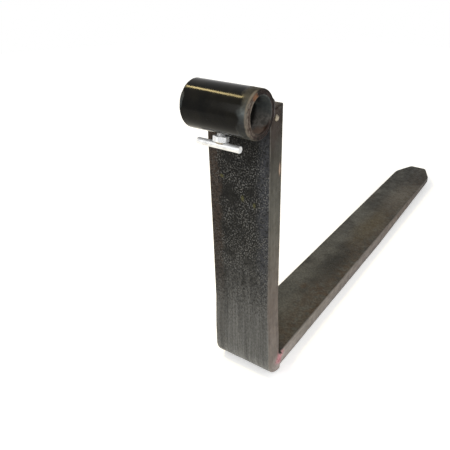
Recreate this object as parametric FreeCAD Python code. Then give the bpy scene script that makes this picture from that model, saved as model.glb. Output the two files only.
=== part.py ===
import FreeCAD, Part
import math
import os

# Loader tine: a forged L that slides onto a headstock shaft by the tube at its top.
# Millimetres. X runs along the tube, Y from the shank towards the tip, Z up.
# The origin is on the tube's axis, over the middle of the shank's width.

# Forged tine
tine_width = 100.0
tine_thickness = 31.0
tine_height = 455.0
blade_length = 976.0
heel_outer_radius = 36.0
heel_inner_radius = 12.0
heel_flare = 3.5
heel_flare_end = 40.0
heel_flare_start = 160.0
taper_start = 510.0
tip_thickness = 11.0
tip_length = 64.0
tip_end_width = 46.0
tip_corner_radius = 14.0
tip_shoulder_radius = 60.0
tine_edge_radius = 2.5

# Hanger tube
tube_outer_radius = 30.15
hanger_bore_radius = 22.5
tube_length = 98.0
tube_offset = 6.7
tube_rim_radius = 2.5

# Weld beads between the tube and the shank
bead_radius = 7.0
bead_end_gap = 3.0
upper_bead_height = 3.5
lower_bead_angle = 33.0
side_bead_radius = 5.0
side_bead_height = 26.0

# Locking screw, leaning away from the shank so that its bar swings clear
screw_lean = 12.0
screw_offset = 2.2
screw_radius = 6.0
screw_hole_clearance = 0.05
screw_tip_gap = 0.3
screw_tip_chamfer = 1.0
head_gap = 2.6
head_height = 7.5
head_across_flats = 19.0
head_turn = 24.0
head_bore_clearance = 0.05
head_corner_chamfer = 1.1

# Cross bar welded under the screw's head
bar_radius = 4.5
bar_length = 65.0
bar_offset = -2.9
bar_end_chamfer = 0.8
bar_bead_radius = 3.0
bar_bead_length = 13.0

shank_face = tube_outer_radius
blade_floor = -tine_height
tip_end = shank_face + blade_length
bore_side = screw_tip_gap + hanger_bore_radius
head_start = tube_outer_radius + head_gap
head_end = head_start + head_height
bar_place = head_end + bar_radius


def point(x, y, z):
    return FreeCAD.Vector(x, y, z)


def cylinder(radius, length, start, direction):
    return Part.makeCylinder(radius, length, start, direction)


def face_within(curves):
    edges = [curve.toShape() for curve in curves]
    return Part.Face(Part.Wire(Part.sortEdges(edges)[0]))


def tine_side_profile(x):
    # The L seen from the side, with its two heel arcs and the blade's rising underside.
    back = shank_face
    inner = shank_face + tine_thickness
    top = blade_floor + tine_thickness
    outer = heel_outer_radius
    bend = heel_inner_radius
    half = math.sqrt(0.5)
    heel_middle = point(x, back + outer * (1 - half), blade_floor + outer * (1 - half))
    bend_middle = point(x, inner + bend * (1 - half), top + bend * (1 - half))
    return face_within([
        Part.LineSegment(point(x, back, 0), point(x, back, blade_floor + outer)),
        Part.Arc(point(x, back, blade_floor + outer), heel_middle, point(x, back + outer, blade_floor)),
        Part.LineSegment(point(x, back + outer, blade_floor), point(x, back + taper_start, blade_floor)),
        Part.LineSegment(point(x, back + taper_start, blade_floor), point(x, tip_end, top - tip_thickness)),
        Part.LineSegment(point(x, tip_end, top - tip_thickness), point(x, tip_end, top)),
        Part.LineSegment(point(x, tip_end, top), point(x, inner + bend, top)),
        Part.Arc(point(x, inner + bend, top), bend_middle, point(x, inner, top + bend)),
        Part.LineSegment(point(x, inner, top + bend), point(x, inner, 0)),
        Part.LineSegment(point(x, inner, 0), point(x, back, 0)),
    ])


def flared_side(side, far, place):
    # One side of the tine, from the heel's outer face to the distance given: straight and wide round
    # the heel, drawn in by heel_flare through two equal arcs, then straight on.
    half = tine_width / 2
    wide = half + heel_flare
    span = (heel_flare_start - heel_flare_end) / 2
    step = heel_flare / 2
    radius = (span ** 2 + step ** 2) / (2 * step)
    turn = math.asin(span / radius) / 2
    run = radius * math.sin(turn)
    rise = radius * (1 - math.cos(turn))
    stations = [
        (-tine_thickness, wide),
        (heel_flare_end, wide),
        (heel_flare_end + run, wide - rise),
        (heel_flare_end + span, wide - step),
        (heel_flare_start - run, half + rise),
        (heel_flare_start, half),
        (far, half),
    ]
    spots = [place(along, side * x) for along, x in stations]
    return [
        Part.LineSegment(spots[0], spots[1]),
        Part.Arc(spots[1], spots[2], spots[3]),
        Part.Arc(spots[3], spots[4], spots[5]),
        Part.LineSegment(spots[5], spots[6]),
    ]


def shank_front_prism():
    # The shank seen from the front, carried back over the whole tine.
    far = tine_height + tine_thickness

    def place(along, x):
        return point(x, 0, blade_floor + along)

    wide = tine_width / 2 + heel_flare
    curves = flared_side(1, far, place) + flared_side(-1, far, place)
    curves.append(Part.LineSegment(place(-tine_thickness, -wide), place(-tine_thickness, wide)))
    curves.append(Part.LineSegment(place(far, -tine_width / 2), place(far, tine_width / 2)))
    return face_within(curves).extrude(point(0, tip_end + tine_thickness, 0))


def blade_plan_prism():
    # The blade seen from above, as a tall prism: its sides draw in to a blunt, rounded end.
    low = blade_floor - tine_thickness
    shoulder = tip_end - tip_length

    def place(along, x):
        return point(x, shank_face + along, low)

    half = tine_width / 2
    wide = half + heel_flare
    far = shoulder - shank_face
    end_left = place(blade_length, -tip_end_width / 2)
    end_right = place(blade_length, tip_end_width / 2)
    curves = flared_side(1, far, place) + flared_side(-1, far, place)
    curves.append(Part.LineSegment(place(-tine_thickness, -wide), place(-tine_thickness, wide)))
    curves.append(Part.LineSegment(place(far, half), end_right))
    curves.append(Part.LineSegment(end_right, end_left))
    curves.append(Part.LineSegment(end_left, place(far, -half)))
    prism = face_within(curves).extrude(point(0, 0, tine_height + 2 * tine_thickness))
    for radius, place in ((tip_corner_radius, tip_end), (tip_shoulder_radius, shoulder)):
        upright = [edge for edge in prism.Edges if is_upright(edge) and abs(edge.CenterOfMass.y - place) < 0.1]
        prism = prism.makeFillet(radius, upright)
    return prism


def is_upright(edge):
    start, end = edge.Vertexes[0].Point, edge.Vertexes[-1].Point
    return abs(start.x - end.x) < 0.001 and abs(start.y - end.y) < 0.001


def on_tine_side(face):
    # True for the faces that run round the tine's width: its two sides and the tip's outline.
    u0, u1, v0, v1 = face.ParameterRange
    normal = face.normalAt((u0 + u1) / 2, (v0 + v1) / 2)
    place = face.CenterOfMass
    sideways = abs(normal.x) > 0.9
    tip = place.y > tip_end - tip_length - tip_shoulder_radius and abs(normal.z) < 0.01
    return sideways or tip


def forged_tine():
    half = tine_width / 2 + 2 * heel_flare
    blank = tine_side_profile(-half).extrude(point(2 * half, 0, 0))
    blank = blank.common(shank_front_prism()).common(blade_plan_prism()).removeSplitter()
    side_edges = [edge for face in blank.Faces if on_tine_side(face) for edge in face.Edges]
    rim = []
    for edge in side_edges:
        shared = [other for other in side_edges if other.isSame(edge)]
        if len(shared) == 1:
            rim.append(edge)
    return blank.makeFillet(tine_edge_radius, rim)


def screw_direction():
    # Out of the tube along the screw, from the tube's axis: down, and leaning away from the shank.
    lean = math.radians(screw_lean)
    return point(0, -math.sin(lean), -math.cos(lean))


def on_screw_axis(distance):
    return point(screw_offset, 0, 0) + screw_direction() * distance


def across_screw():
    # Square to the screw and to the bar, pointing forwards.
    return screw_direction().cross(point(1, 0, 0))


def screw_piece(radius, start, end):
    return cylinder(radius, end - start, on_screw_axis(start), screw_direction())


def tube_blank(radius):
    start = point(tube_offset - tube_length / 2, 0, 0)
    return cylinder(radius, tube_length, start, point(1, 0, 0))


def hanger_tube():
    tube = tube_blank(tube_outer_radius)
    rims = [edge for edge in tube.Edges if edge.Closed]
    tube = tube.makeFillet(tube_rim_radius, rims)
    tube = tube.cut(tube_blank(hanger_bore_radius))
    screw_hole = screw_piece(screw_radius + screw_hole_clearance, 0, 2 * tube_outer_radius)
    return tube.cut(screw_hole)


def weld_run(radius, start, end, y, z):
    # A round bead along X, cut to the tube and the tine that it joins.
    run = cylinder(radius, end - start, point(start, y, z), point(1, 0, 0))
    return run.cut(tube_blank(tube_outer_radius))


def weld_span():
    # The stretch along X where the tube lies against the shank.
    left = max(-tine_width / 2, tube_offset - tube_length / 2) + bead_end_gap
    right = min(tine_width / 2, tube_offset + tube_length / 2) - bead_end_gap
    return left, right


def upper_weld_bead():
    # The bead lies on the shank's top and against the tube's upper back.
    left, right = weld_span()
    run = weld_run(bead_radius, left, right, shank_face, upper_bead_height)
    corner = point(left, shank_face - bead_radius, -bead_radius)
    below_top = Part.makeBox(right - left, 2 * bead_radius, bead_radius, corner)
    return run.cut(below_top)


def lower_weld_bead(tine):
    # The bead fills the groove where the tube's underside has curved away from the shank's face.
    left, right = weld_span()
    y = shank_face - bead_radius / 2
    z = -tube_outer_radius * math.sin(math.radians(lower_bead_angle))
    return weld_run(bead_radius, left, right, y, z).cut(tine)


def side_weld_bead(tine):
    # An upright bead in the corner between the shank's right side and the tube's overhanging end.
    x = tine_width / 2
    radius = side_bead_radius
    height = side_bead_height
    run = cylinder(radius, height, point(x, shank_face, -height / 2), point(0, 0, 1))
    corner = point(x - radius, shank_face - radius, -height / 2)
    within_width = Part.makeBox(radius, 2 * radius, height, corner)
    return run.cut(tube_blank(tube_outer_radius)).cut(tine).cut(within_width)


def screw_stud():
    stud = screw_piece(screw_radius, bore_side, head_end)
    tip_middle = on_screw_axis(bore_side)
    tip = [edge for edge in stud.Edges if edge.Closed and (edge.CenterOfMass - tip_middle).Length < 0.1]
    return stud.makeChamfer(screw_tip_chamfer, tip)


def hexagon_prism(across_flats, start, end):
    corner_radius = across_flats / math.sqrt(3)
    corners = []
    for side in range(6):
        turn = math.radians(head_turn + 60 * side)
        outward = point(1, 0, 0) * math.cos(turn) + across_screw() * math.sin(turn)
        corners.append(on_screw_axis(start) + outward * corner_radius)
    face = Part.Face(Part.makePolygon(corners + corners[:1]))
    return face.extrude(screw_direction() * (end - start))


def screw_head():
    # A hexagon whose corners are turned off at both ends, bored for the stud.
    prism = hexagon_prism(head_across_flats, head_start, head_end)
    corner_radius = head_across_flats / math.sqrt(3)
    envelope = screw_piece(corner_radius, head_start, head_end)
    rims = [edge for edge in envelope.Edges if edge.Closed]
    envelope = envelope.makeChamfer(head_corner_chamfer, rims)
    head = prism.common(envelope)
    return head.cut(screw_piece(screw_radius + head_bore_clearance, head_start - 1, head_end + 1))


def cross_bar():
    start = on_screw_axis(bar_place) + point(bar_offset - bar_length / 2, 0, 0)
    bar = cylinder(bar_radius, bar_length, start, point(1, 0, 0))
    rims = [edge for edge in bar.Edges if edge.Closed]
    return bar.makeChamfer(bar_end_chamfer, rims)


def bar_weld_beads(bar):
    # Two short beads, in front of the bar and behind it, where it meets the screw's head.
    beads = []
    for side in (1, -1):
        middle = on_screw_axis(head_end) + across_screw() * (side * bar_radius)
        start = middle - point(bar_bead_length / 2, 0, 0)
        bead = cylinder(bar_bead_radius, bar_bead_length, start, point(1, 0, 0))
        above = screw_piece(3 * bar_radius, head_start, head_end)
        beads.append(bead.cut(above).cut(bar))
    return Part.makeCompound(beads)


def build_parts():
    tine = forged_tine()
    bar = cross_bar()
    return {
        "forged_tine": tine,
        "hanger_tube": hanger_tube(),
        "upper_weld_bead": upper_weld_bead(),
        "lower_weld_bead": lower_weld_bead(tine),
        "side_weld_bead": side_weld_bead(tine),
        "screw_stud": screw_stud(),
        "screw_head": screw_head(),
        "cross_bar": bar,
        "bar_weld_beads": bar_weld_beads(bar),
    }


os.makedirs("parts", exist_ok=True)
for name, shape in build_parts().items():
    shape.exportStep("parts/" + name + ".step")
    print(name, round(shape.Volume, 1), "mm3", shape.isValid(), len(shape.Solids))
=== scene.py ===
import bpy
import bmesh
import math
import numpy as np
from mathutils import Matrix, Vector


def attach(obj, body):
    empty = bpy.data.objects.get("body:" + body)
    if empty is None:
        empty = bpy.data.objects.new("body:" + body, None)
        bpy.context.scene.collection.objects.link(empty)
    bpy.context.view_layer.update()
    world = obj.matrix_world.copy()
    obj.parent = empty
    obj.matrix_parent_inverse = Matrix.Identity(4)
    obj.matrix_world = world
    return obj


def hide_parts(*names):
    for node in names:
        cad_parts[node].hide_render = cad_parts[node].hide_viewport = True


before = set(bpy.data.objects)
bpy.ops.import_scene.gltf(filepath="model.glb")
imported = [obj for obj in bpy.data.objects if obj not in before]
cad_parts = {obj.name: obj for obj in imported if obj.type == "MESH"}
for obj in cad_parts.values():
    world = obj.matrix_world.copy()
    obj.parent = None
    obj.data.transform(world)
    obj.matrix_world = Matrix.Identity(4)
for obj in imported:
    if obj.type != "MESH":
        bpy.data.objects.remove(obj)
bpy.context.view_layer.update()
print("frame loaded")

# Metres throughout, in the same frame as the solids: X along the tube, Y along the blade, Z up.
# The origin is on the tube's axis, over the middle of the shank.

# Camera, floor and lamps

cameraSettings = {
    "place": (0.3504, -0.4635, 0.1636),
    "azimuth": 32.31,        # degrees round from -Y towards +X
    "elevation": 30.03,
    "roll": 0.36,
    "focalPixels": 487.9,    # focal length over pixel size, in a 450 pixel frame
    "framePixels": 450,
    "axisPixel": (262.0, 232.0),  # where the lens axis meets the frame
}

lightSettings = {
    "worldStrength": 0.60,
    "stripPlace": (-0.88, -0.12, 1.25),  # high on the left, where the tube mirrors it as a thin line
    "stripSize": (0.55, 0.15),          # metres, along X and across
    "stripLevel": (0.82, -0.57, 0),     # its length's direction
    "stripPower": 15.0,
    "stripColor": (1.0, 0.80, 0.38),
    "frontPlace": (-0.55, -1.6, 0.75),
    "frontSize": 1.1,
    "frontPower": 12.0,
    "frontLevel": (1, 0, 0),
    "rightPlace": (1.7, -0.1, 0.35),
    "rightSize": 1.2,
    "rightPower": 8.0,
    "rightLevel": (0, 1, 0),
}

floorSettings = {
    "height": -0.455,
    "middle": 0.3,           # along Y
    "radius": 3.2,
    "rings": 8,
    "steps": 96,
    "color": (0.93, 0.93, 0.93),
    "nearLift": 0.36,        # added for camera, gloss and glass rays, so that the open floor is white
    "farLift": 0.50,
    "liftReach": (0.5, 1.5),  # metres from the middle, where the lift starts and stops growing
}


def makeCamera(settings):
    data = bpy.data.cameras.new("photoCamera")
    data.sensor_width = 36.0
    data.lens = settings["focalPixels"] / settings["framePixels"] * data.sensor_width
    half = settings["framePixels"] / 2
    data.shift_x = (half - settings["axisPixel"][0]) / settings["framePixels"]
    data.shift_y = (settings["axisPixel"][1] - half) / settings["framePixels"]
    data.clip_start = 0.01
    camera = bpy.data.objects.new("photoCamera", data)
    bpy.context.collection.objects.link(camera)
    azimuth, elevation, roll = (math.radians(settings[key]) for key in ("azimuth", "elevation", "roll"))
    back = Vector((
        math.sin(azimuth) * math.cos(elevation),
        -math.cos(azimuth) * math.cos(elevation),
        math.sin(elevation),
    ))
    turn = (-back).to_track_quat("-Z", "Y").to_matrix().to_4x4()
    camera.matrix_world = Matrix.Translation(settings["place"]) @ turn @ Matrix.Rotation(roll, 4, "Z")
    bpy.context.scene.camera = camera


def makeAreaLamp(name, place, size, power, color=(1, 1, 1), target=(0, 0.1, -0.2), level=(1, 0, 0)):
    # A lamp of width and length size, its width kept along level as far as its aim allows.
    data = bpy.data.lights.new(name, "AREA")
    data.energy = power
    data.color = color
    data.shape = "RECTANGLE"
    data.size, data.size_y = size
    lamp = bpy.data.objects.new(name, data)
    bpy.context.collection.objects.link(lamp)
    back = (Vector(place) - Vector(target)).normalized()
    side = (Vector(level) - back * back.dot(Vector(level))).normalized()
    turn = Matrix((side, back.cross(side), back)).transposed().to_4x4()
    lamp.matrix_world = Matrix.Translation(place) @ turn


def fillSockets(tree, node, values):
    # A value that is a socket is linked, any other is written into the node's own input.
    for key, value in values.items():
        if isinstance(value, bpy.types.NodeSocket):
            tree.links.new(value, node.inputs[key])
        else:
            node.inputs[key].default_value = value
    return node


def addNode(tree, kind, inputs=None, **settings):
    node = tree.nodes.new(kind)
    for key, value in settings.items():
        setattr(node, key, value)
    return fillSockets(tree, node, inputs or {})


def mixColors(tree, factor, first, second):
    # First where factor is 0, second where it is 1; each is a socket or three numbers.
    first, second = ((*color, 1.0) if isinstance(color, tuple) else color for color in (first, second))
    return addNode(tree, "ShaderNodeMix", {0: factor, 6: first, 7: second}, data_type="RGBA").outputs[2]


def calc(tree, operation, first, second=0.0):
    return addNode(tree, "ShaderNodeMath", {0: first, 1: second}, operation=operation).outputs[0]


def times(tree, first, *others):
    # The product of all the values.
    for value in others:
        first = calc(tree, "MULTIPLY", first, value)
    return first


def coat(tree, color, tone, *masks):
    # Tone laid over color as far as the product of the masks says.
    return mixColors(tree, times(tree, *masks), color, tone)


def fade(tree, value, low, high, toLow=0.0, toHigh=1.0):
    # From toLow at low to toHigh at high along a smooth step, and level beyond them.
    return addNode(
        tree, "ShaderNodeMapRange",
        {"Value": value, "From Min": low, "From Max": high, "To Min": toLow, "To Max": toHigh},
        interpolation_type="SMOOTHSTEP",
    ).outputs["Result"]


def attributeOf(tree, name):
    return addNode(tree, "ShaderNodeAttribute", attribute_name=name).outputs["Fac"]


def ramp(tree, value, stops):
    # Colours at places from 0 to 1 along value, blended in between.
    node = addNode(tree, "ShaderNodeValToRGB", {0: value})
    elements = node.color_ramp.elements
    elements[0].position, elements[1].position = stops[0][0], stops[-1][0]
    elements[0].color, elements[1].color = (*stops[0][1], 1), (*stops[-1][1], 1)
    for place, color in stops[1:-1]:
        elements.new(place).color = (*color, 1)
    return node.outputs[0]


def noiseOf(tree, vector, scale, detail, roughness=0.5):
    settings = {"Vector": vector, "Scale": scale, "Detail": detail, "Roughness": roughness}
    return addNode(tree, "ShaderNodeTexNoise", settings).outputs["Fac"]


def vectorCalc(tree, operation, first, second=(0, 0, 0)):
    return addNode(tree, "ShaderNodeVectorMath", {0: first, 1: second}, operation=operation).outputs


def spot(tree, place, centre, size, ragged=0.0, soft=0.5):
    # 1 inside the ball of half sizes size about centre, 0 outside, its border moved by noise.
    moved = vectorCalc(tree, "SUBTRACT", place, centre)[0]
    scaled = vectorCalc(tree, "DIVIDE", moved, size)[0]
    distance = vectorCalc(tree, "LENGTH", scaled)["Value"]
    distance = calc(tree, "ADD", distance, times(tree, noiseOf(tree, scaled, 1.9, 4.0), 2 * ragged))
    return fade(tree, distance, 1 + ragged, 1 + ragged - soft)


def spotAlong(tree, value, middle, reach):
    # 1 where value is at the middle, fading to 0 at reach on both sides.
    away = calc(tree, "ABSOLUTE", calc(tree, "SUBTRACT", value, middle))
    return fade(tree, away, reach, 0.0)


def brighten(tree, color, factor):
    return addNode(tree, "ShaderNodeHueSaturation", {"Color": color, "Value": factor}).outputs[0]


def newMaterial(name):
    # Besides the material: its tree, its shader and the place on the piece that its patterns read.
    material = bpy.data.materials.new(name)
    material.use_nodes = True
    tree = material.node_tree
    tree.nodes.clear()
    shader = addNode(tree, "ShaderNodeBsdfPrincipled")
    addNode(tree, "ShaderNodeOutputMaterial", {"Surface": shader.outputs[0]})
    return material, tree, shader, addNode(tree, "ShaderNodeTexCoord").outputs["Object"]


def seenDirectly(tree):
    # 1 for rays from the camera, from gloss and through glass.
    path = addNode(tree, "ShaderNodeLightPath").outputs
    seen = calc(tree, "MAXIMUM", path["Is Camera Ray"], path["Is Glossy Ray"])
    return calc(tree, "MAXIMUM", seen, path["Is Transmission Ray"])


def makeFloor(settings):
    # A flat disc, its rings at r = radius * k / rings, turned through equal steps.
    radius = np.linspace(0, settings["radius"], settings["rings"] + 1)[:, None]
    turn = -np.arange(settings["steps"]) * 2 * np.pi / settings["steps"]
    x = radius * np.cos(turn)
    y = radius * np.sin(turn) + settings["middle"]
    floor = gridPiece("floor", np.stack([x, y, np.full(x.shape, settings["height"])], -1))
    material, tree, shader, place = newMaterial("paleFloor")
    middle = (0, settings["middle"], settings["height"])
    away = vectorCalc(tree, "DISTANCE", place, middle)["Value"]
    lift = fade(tree, away, *settings["liftReach"], settings["nearLift"], settings["farLift"])
    fillSockets(tree, shader, {
        "Base Color": (*settings["color"], 1), "Roughness": 0.9, "Specular IOR Level": 0.0,
        "Emission Color": (1, 1, 1, 1), "Emission Strength": times(tree, seenDirectly(tree), lift),
    })
    floor.data.materials.append(material)


def makeWorld(strength):
    world = bpy.data.worlds.new("backdrop")
    bpy.context.scene.world = world
    world.use_nodes = True
    tree = world.node_tree
    shown = fade(tree, seenDirectly(tree), 0.0, 1.0, strength, 1.0)
    fillSockets(tree, tree.nodes["Background"], {"Color": (1, 1, 1, 1), "Strength": shown})


def softNoise(points, cell, seed):
    # Random values on a cubic lattice that repeats, blended through each cell along each axis by
    # the smooth step 3 t^2 - 2 t^3; the result runs from -1 to 1.
    size = 32
    lattice = np.random.default_rng(seed).uniform(-1, 1, (size, size, size))
    scaled = points / cell
    low = np.floor(scaled).astype(int)
    part = scaled - low
    part = part * part * (3 - 2 * part)
    total = np.zeros(points.shape[:-1])
    for corner in range(8):
        offset = np.array([corner & 1, corner >> 1 & 1, corner >> 2 & 1])
        weight = np.prod(np.where(offset == 1, part, 1 - part), axis=-1)
        node = (low + offset) % size
        total += weight * lattice[node[..., 0], node[..., 1], node[..., 2]]
    return total


def finishPiece(name, mesh, sharpAngle=None):
    # Seams and poles are merged, the faces turned outwards and smoothed, save at edges past sharpAngle.
    shell = bmesh.new()
    shell.from_mesh(mesh)
    bmesh.ops.remove_doubles(shell, verts=shell.verts, dist=1e-7)
    bmesh.ops.recalc_face_normals(shell, faces=shell.faces)
    shell.to_mesh(mesh)
    shell.free()
    mesh.polygons.foreach_set("use_smooth", np.ones(len(mesh.polygons), dtype=bool))
    if sharpAngle is not None:
        mesh.set_sharp_from_angle(angle=math.radians(sharpAngle))
    piece = bpy.data.objects.new(name, mesh)
    bpy.context.collection.objects.link(piece)
    return piece


def gridPiece(name, grid, closedRows=False, attributes=None, wrap=None, sharpAngle=None):
    # The grid's columns run round the piece and close on themselves. Its rows run along the piece, or
    # close on themselves too; a row of one repeated point is a pole. wrap is (metres along, metres round)
    # for each row and column, kept as the UV map "wrap".
    rows, cols = grid.shape[:2]
    r = np.arange(rows if closedRows else rows - 1)[:, None]
    c = np.arange(cols)[None, :]
    nextRow = (r + 1) % rows
    nextCol = (c + 1) % cols
    quads = np.stack([r * cols + c, r * cols + nextCol, nextRow * cols + nextCol, nextRow * cols + c], -1)
    mesh = bpy.data.meshes.new(name)
    mesh.from_pydata(grid.reshape(-1, 3).tolist(), [], quads.reshape(-1, 4).tolist())
    if wrap is not None:
        along, around = wrap
        alongEdges = np.append(along, along[-1] + along[1] - along[0])
        roundEdges = np.append(around, 2 * around[-1] - around[-2])
        r, c = (np.broadcast_to(index, quads.shape[:2]) for index in (r, c))
        u = alongEdges[np.stack([r, r, r + 1, r + 1], -1)]
        v = roundEdges[np.stack([c, c + 1, c + 1, c], -1)]
        layer = mesh.uv_layers.new(name="wrap")
        layer.data.foreach_set("uv", np.stack([u, v], -1).astype(np.float32).ravel())
    for key, values in (attributes or {}).items():
        layer = mesh.attributes.new(key, "FLOAT", "POINT")
        layer.data.foreach_set("value", np.broadcast_to(values, (rows, cols)).astype(np.float32).ravel())
    return finishPiece(name, mesh, sharpAngle)


def settle(piece, body, slot, material, *nodes):
    # Gives the piece its material and its body, and hides the solids that it stands for.
    piece.data.materials.append(material)
    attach(piece, body)
    if nodes:
        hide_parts(*nodes)


# Shared shader groups

def newGroup(name, inputs, outputs):
    # An input's kind follows its default: a vector has none, and the others a number or a colour.
    kinds = {type(None): "NodeSocketVector", float: "NodeSocketFloat", tuple: "NodeSocketColor"}
    group = bpy.data.node_groups.new(name, "ShaderNodeTree")
    for key, default in inputs.items():
        socket = group.interface.new_socket(key, in_out="INPUT", socket_type=kinds[type(default)])
        if default is not None:
            socket.default_value = default
    for key, kind in outputs.items():
        group.interface.new_socket(key, in_out="OUTPUT", socket_type=kind)
    return group, group.nodes.new("NodeGroupInput").outputs, group.nodes.new("NodeGroupOutput")


def makePatchGroup():
    # Patches: noise faded between two levels.
    group, given, made = newGroup(
        "patches", {"Vector": None, "Scale": 50.0, "Detail": 3.0, "Low": 0.45, "High": 0.65},
        {"Mask": "NodeSocketFloat"})
    noise = noiseOf(group, given["Vector"], given["Scale"], given["Detail"], 0.6)
    fillSockets(group, made, {"Mask": fade(group, noise, given["Low"], given["High"])})
    return group


def makeGrainGroup():
    # Surface grain for bump: coarse noise plus a share of fine noise.
    group, given, made = newGroup(
        "surfaceGrain", {"Vector": None, "Scale": 300.0, "Fine": 0.5}, {"Height": "NodeSocketFloat"})
    coarse = noiseOf(group, given["Vector"], given["Scale"], 3.0, 0.55)
    fine = noiseOf(group, given["Vector"], times(group, given["Scale"], 4.3), 2.0, 0.7)
    fillSockets(group, made, {"Height": calc(group, "ADD", coarse, times(group, fine, given["Fine"]))})
    return group


def makeRustGroup():
    # Rust: a dark and a light brown mixed by noise.
    group, given, made = newGroup(
        "rust",
        {"Vector": None, "Scale": 200.0, "Dark": (0.035, 0.018, 0.011, 1), "Light": (0.16, 0.075, 0.04, 1)},
        {"Color": "NodeSocketColor"})
    share = fade(group, noiseOf(group, given["Vector"], given["Scale"], 5.0, 0.7), 0.35, 0.7)
    fillSockets(group, made, {"Color": mixColors(group, share, given["Dark"], given["Light"])})
    return group


patchGroup = makePatchGroup()
grainGroup = makeGrainGroup()
rustGroup = makeRustGroup()


def placeGroup(tree, group, **values):
    return fillSockets(tree, addNode(tree, "ShaderNodeGroup", node_tree=group), values).outputs


def patches(tree, vector, scale, low, high, detail=3.0):
    return placeGroup(tree, patchGroup, Vector=vector, Scale=scale, Low=low, High=high, Detail=detail)["Mask"]


def stretched(tree, vector, scale):
    return addNode(tree, "ShaderNodeMapping", {"Vector": vector, "Scale": scale}).outputs[0]


def addBump(tree, shader, height, strength, distance):
    bump = addNode(tree, "ShaderNodeBump", {"Height": height, "Strength": strength, "Distance": distance})
    fillSockets(tree, shader, {"Normal": bump.outputs[0]})


makeCamera(cameraSettings)
makeWorld(lightSettings["worldStrength"])
makeFloor(floorSettings)
makeAreaLamp(                # aimed straight down
    "overheadStrip", lightSettings["stripPlace"], lightSettings["stripSize"], lightSettings["stripPower"],
    lightSettings["stripColor"], (*lightSettings["stripPlace"][:2], 0), lightSettings["stripLevel"],
)
for lampName in ("front", "right"):
    lampSize = lightSettings[lampName + "Size"]
    makeAreaLamp(
        lampName + "Lamp", lightSettings[lampName + "Place"], (lampSize, lampSize),
        lightSettings[lampName + "Power"], level=lightSettings[lampName + "Level"],
    )
bpy.context.scene.view_settings.view_transform = "Standard"
print("camera, floor and lamps placed")


# Forged tine

tineSettings = {
    "halfWidth": 0.050,
    "flare": 0.0035,          # extra half width round the heel
    "flareEnd": 0.040,        # distances from the heel's outer faces
    "flareStart": 0.160,
    "thickness": 0.031,
    "height": 0.455,
    "back": 0.03015,          # the shank's tube-side face
    "length": 0.976,
    "outerRadius": 0.036,
    "innerRadius": 0.012,
    "taperStart": 0.510,
    "tipThickness": 0.011,
    "tipLength": 0.064,
    "tipEnd": 0.023,          # half width where the tip's slants would meet its end
    "tipCorner": 0.014,
    "shoulder": 0.060,
    "edgeRadius": 0.0027,
    "topRound": 0.0012,
    "waveDepth": 0.00030,     # forging waviness, always inwards
    "pitDepth": 0.00016,
    "nickDepth": 0.0004,      # knocks along the edges
    "seed": 11,
}


def flareWidth(along, settings):
    # Half width at a distance from the heel: wide at first, then two equal arcs of radius
    # (span^2 + step^2) / (2 step), the first curving in and the second easing out, then straight.
    span = (settings["flareStart"] - settings["flareEnd"]) / 2
    step = settings["flare"] / 2
    radius = (span ** 2 + step ** 2) / (2 * step)
    wide = settings["halfWidth"] + settings["flare"]
    first = wide - radius + np.sqrt(radius ** 2 - np.clip(along - settings["flareEnd"], 0, span) ** 2)
    second = settings["halfWidth"] + radius
    second = second - np.sqrt(radius ** 2 - np.clip(settings["flareStart"] - along, 0, span) ** 2)
    return np.where(along < settings["flareEnd"] + span, first, second)


def tipWidth(along, settings):
    # Half width at a distance along the blade: a shoulder arc, a straight slant and a corner arc.
    start = settings["length"] - settings["tipLength"]
    drop = settings["halfWidth"] - settings["tipEnd"]
    slantAngle = math.atan2(drop, settings["tipLength"])
    cornerTurn = math.pi / 2 - slantAngle
    reach = settings["shoulder"] * math.tan(slantAngle / 2)
    bend = np.clip(along - start + reach, 0, settings["shoulder"] * math.sin(slantAngle))
    shoulder = settings["halfWidth"] - settings["shoulder"]
    shoulder = shoulder + np.sqrt(settings["shoulder"] ** 2 - bend ** 2)
    slant = settings["halfWidth"] - drop * (along - start) / settings["tipLength"]
    radius = settings["tipCorner"]
    flat = settings["tipEnd"] - radius * math.tan(cornerTurn / 2)
    depth = np.clip(along - settings["length"] + radius, 0, radius)
    corner = flat + np.sqrt(radius ** 2 - depth ** 2)
    shoulderEnd = start - reach + settings["shoulder"] * math.sin(slantAngle)
    cornerStart = settings["length"] - radius + radius * math.sin(slantAngle)
    return np.select([along < shoulderEnd, along < cornerStart], [shoulder, slant], corner)


def edgeInset(distance, radius):
    # How far a quarter-round edge has drawn in at a distance from the end face.
    depth = np.clip(radius - distance, 0, radius)
    return radius - np.sqrt(radius ** 2 - depth ** 2)


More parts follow.
